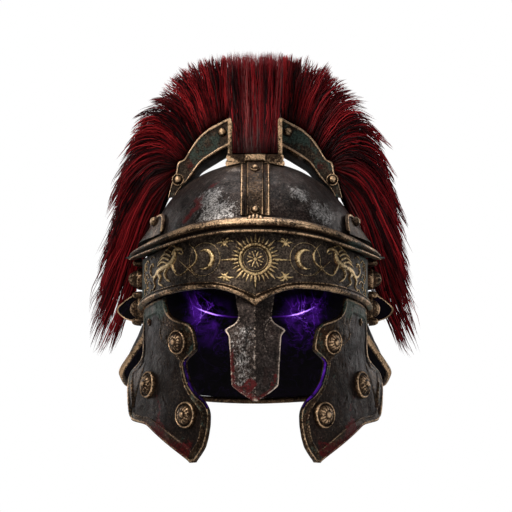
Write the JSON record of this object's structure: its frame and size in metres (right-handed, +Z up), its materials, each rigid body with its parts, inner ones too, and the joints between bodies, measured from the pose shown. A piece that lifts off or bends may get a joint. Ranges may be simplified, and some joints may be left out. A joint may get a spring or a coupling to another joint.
{
  "type": "roman legionary helmet",
  "caption": "Metal war helmet with an engraved brow band, nasal, hinged cheek guards, flared neck guard and a bristle plume set across and along the crown.",
  "frame": {"origin": "inside of the crown, where the helmet sits on a head", "axes": "+Z up, -Y the way the face looks; left in a node name is -X, the left side as seen from the front"},
  "size_m": [0.2812, 0.2986, 0.364],
  "materials": {
    "steel": "dark hammered steel, pitted, worn bright on high spots",
    "bronze": "aged bronze, edges rubbed bright, brown in the hollows",
    "patina": "bronze with green-grey patina and a rubbed border",
    "engraved": "blackened bronze with raised gilt ornament",
    "bristle": "dyed crimson horsehair, matt, some strands worn grey"
  },
  "bodies": {
    "helmet": {"bowl": "steel", "nasal": "steel", "brow_plate": "engraved", "neck_rim": "bronze", "brow_rim_upper": "bronze", "brow_rim_lower": "bronze", "dome_strip": "bronze", "strip_rivet_top": "bronze", "strip_rivet_bottom": "bronze", "crest_socket": "bronze", "socket_clip": "bronze", "crest_arch_left": "patina", "crest_arch_right": "patina", "plume_left": "bristle", "plume_right": "bristle", "plume_centre": "bristle", "arch_rivet_small_left": "bronze", "arch_rivet_large_left": "bronze", "side_tongue_left": "bronze", "tongue_rivet_left": "bronze", "ear_bead_left": "bronze", "ear_boss_upper_left": "bronze", "ear_boss_lower_left": "bronze", "ear_guard_left": "bronze", "hinge_upper_fore_left": "bronze", "hinge_upper_aft_left": "bronze", "hinge_pin_left": "bronze", "arch_rivet_small_right": "bronze", "arch_rivet_large_right": "bronze", "side_tongue_right": "bronze", "tongue_rivet_right": "bronze", "ear_bead_right": "bronze", "ear_boss_upper_right": "bronze", "ear_boss_lower_right": "bronze", "ear_guard_right": "bronze", "hinge_upper_fore_right": "bronze", "hinge_upper_aft_right": "bronze", "hinge_pin_right": "bronze"},
    "cheek_left": {"cheek_guard_left": "steel", "cheek_border_left": "bronze", "cheek_boss_upper_left": "bronze", "cheek_boss_middle_left": "bronze", "cheek_boss_lower_left": "bronze", "cheek_rivet_left": "bronze", "hinge_lower_left": "bronze"},
    "cheek_right": {"cheek_guard_right": "steel", "cheek_border_right": "bronze", "cheek_boss_upper_right": "bronze", "cheek_boss_middle_right": "bronze", "cheek_boss_lower_right": "bronze", "cheek_rivet_right": "bronze", "hinge_lower_right": "bronze"}
  },
  "joints": [
    {"name": "cheek_hinge_left", "type": "hinge", "parent": "helmet", "child": "cheek_left", "pos_m": [-0.08053, -0.03327, -0.129], "axis": [-0.2541, 0.9672, 0], "range_deg": [-8, 30]},
    {"name": "cheek_hinge_right", "type": "hinge", "parent": "helmet", "child": "cheek_right", "pos_m": [0.08053, -0.03327, -0.129], "axis": [-0.2541, -0.9672, 0], "range_deg": [-8, 30]}
  ]
}
